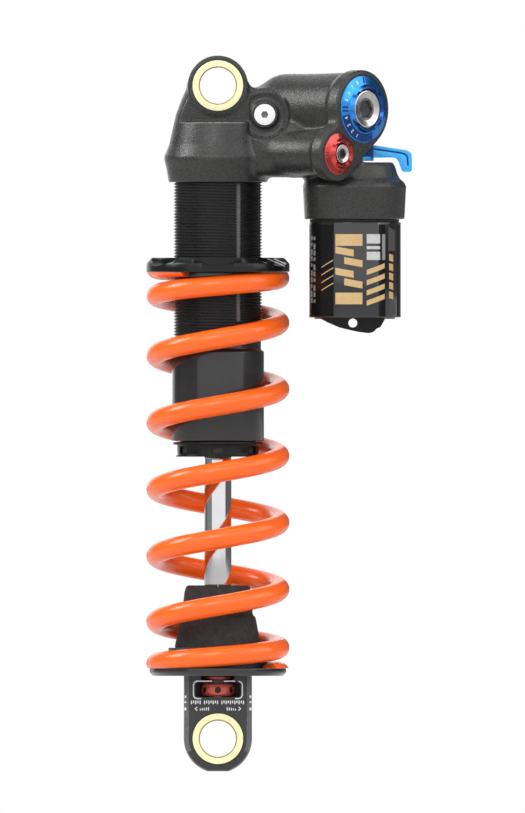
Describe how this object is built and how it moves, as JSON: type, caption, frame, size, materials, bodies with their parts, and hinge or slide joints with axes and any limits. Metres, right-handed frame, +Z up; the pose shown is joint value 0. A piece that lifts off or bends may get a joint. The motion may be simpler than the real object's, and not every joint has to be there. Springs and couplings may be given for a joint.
{
  "type": "bicycle rear shock",
  "caption": "Coil-sprung bicycle rear shock with side reservoir, adjuster dials, threaded preload ring, firm lever and eyelets for frame bolts.",
  "frame": {"origin": "centre of the upper eye, on the damper's axis", "axes": "+Z up along the damper towards the upper eye, Y along both eye bores, +X towards the reservoir"},
  "size_m": [0.0937, 0.0614, 0.252],
  "materials": {
    "cast_black": "satin cast",
    "anodised_black": "gloss anodised",
    "polished_steel": "polished",
    "steel": "machined",
    "bush_yellow": "anodised",
    "bronze": "machined",
    "blue_anodised": "anodised",
    "red_anodised": "anodised",
    "spring_orange": "gloss powder coat",
    "soft_rubber": "matt",
    "white_plastic": "matt"
  },
  "bodies": {
    "damper": {"upper_head": "cast_black", "damper_tube": "anodised_black", "inner_tube": "steel", "seal_head": "anodised_black", "shaft_wiper": "soft_rubber", "shaft_bushing": "bronze", "shaft_seal": "soft_rubber", "seal_retainer": "steel", "seal_head_o_ring": "soft_rubber", "upper_bush_front": "bush_yellow", "upper_bush_rear": "bush_yellow", "bleed_screw": "steel", "reservoir_tube": "anodised_black", "reservoir_ring": "soft_rubber", "reservoir_end_cap": "cast_black", "end_cap_o_ring": "soft_rubber", "gas_fill_screw": "steel", "compression_cartridge": "steel", "compression_poppet": "bronze", "compression_spring": "steel", "rebound_cartridge": "steel", "rebound_poppet": "bronze", "rebound_spring": "steel"},
    "shaft_assembly": {"shaft": "polished_steel", "metering_rod": "steel", "main_piston": "steel", "piston_band": "white_plastic", "compression_shims": "steel", "rebound_shims": "steel", "piston_nut": "steel", "bottom_bumper": "soft_rubber", "lower_retainer": "anodised_black", "lower_eyelet": "cast_black", "lower_bush_front": "bush_yellow", "lower_bush_rear": "bush_yellow", "coil_spring": "spring_orange"},
    "gas_piston": {"floating_piston": "white_plastic", "floating_piston_seal": "soft_rubber"},
    "preload_carrier": {"preload_washer": "steel"},
    "preload_collar": {"preload_ring": "anodised_black"},
    "compression_knob": {"compression_dial": "blue_anodised"},
    "compression_adjuster": {"compression_core": "steel"},
    "rebound_knob": {"rebound_dial": "red_anodised"},
    "rebound_adjuster": {"rebound_core": "steel"},
    "lever": {"firm_lever": "blue_anodised", "lever_spindle": "steel"},
    "high_speed_ring": {"high_speed_rebound_ring": "red_anodised"},
    "low_speed_ring": {"low_speed_rebound_ring": "red_anodised"}
  },
  "joints": [
    {"name": "shock_travel", "type": "slide", "parent": "damper", "child": "shaft_assembly", "axis": [0, 0, 1], "range_m": [0, 0.0575], "stiffness_N_per_m": 78000, "deforming": ["coil_spring", "bottom_bumper"]},
    {"name": "gas_piston_travel", "type": "slide", "parent": "damper", "child": "gas_piston", "axis": [0, 0, -1], "range_m": [0, 0.0061]},
    {"name": "preload_travel", "type": "slide", "parent": "damper", "child": "preload_carrier", "axis": [0, 0, 1], "range_m": [0, 0.0107]},
    {"name": "preload_turn", "type": "hinge", "parent": "preload_carrier", "child": "preload_collar", "pos_m": [0, 0, -0.063], "axis": [0, 0, 1], "range_deg": [0, 3600]},
    {"name": "compression_turn", "type": "hinge", "parent": "damper", "child": "compression_knob", "pos_m": [0.0512, -0.0197, -0.00825], "axis": [0.7373, -0.6756, 0], "range_deg": [-120, 120]},
    {"name": "compression_core_turn", "type": "hinge", "parent": "damper", "child": "compression_adjuster", "pos_m": [0.0512, -0.0197, -0.00825], "axis": [0.7373, -0.6756, 0], "range_deg": [-180, 180]},
    {"name": "rebound_turn", "type": "hinge", "parent": "damper", "child": "rebound_knob", "pos_m": [0.0425, -0.029, -0.024], "axis": [0.7373, -0.6756, 0], "range_deg": [-120, 120]},
    {"name": "rebound_core_turn", "type": "hinge", "parent": "damper", "child": "rebound_adjuster", "pos_m": [0.0425, -0.029, -0.024], "axis": [0.7373, -0.6756, 0], "range_deg": [-180, 180]},
    {"name": "firm_lever_turn", "type": "hinge", "parent": "damper", "child": "lever", "pos_m": [0.0481, -0.006, -0.024], "axis": [0, 0, 1], "range_deg": [0, 90]},
    {"name": "high_speed_ring_turn", "type": "hinge", "parent": "shaft_assembly", "child": "high_speed_ring", "pos_m": [0, 0, -0.21275], "axis": [0, 0, 1], "range_deg": [-180, 180]},
    {"name": "low_speed_ring_turn", "type": "hinge", "parent": "shaft_assembly", "child": "low_speed_ring", "pos_m": [0, 0, -0.2088], "axis": [0, 0, 1], "range_deg": [-180, 180]}
  ],
  "couplings": [
    {"joint": "gas_piston_travel", "follows": "shock_travel", "ratio": 0.10585},
    {"joint": "preload_travel", "follows": "preload_turn", "m_per_rad": 0.0001687}
  ]
}
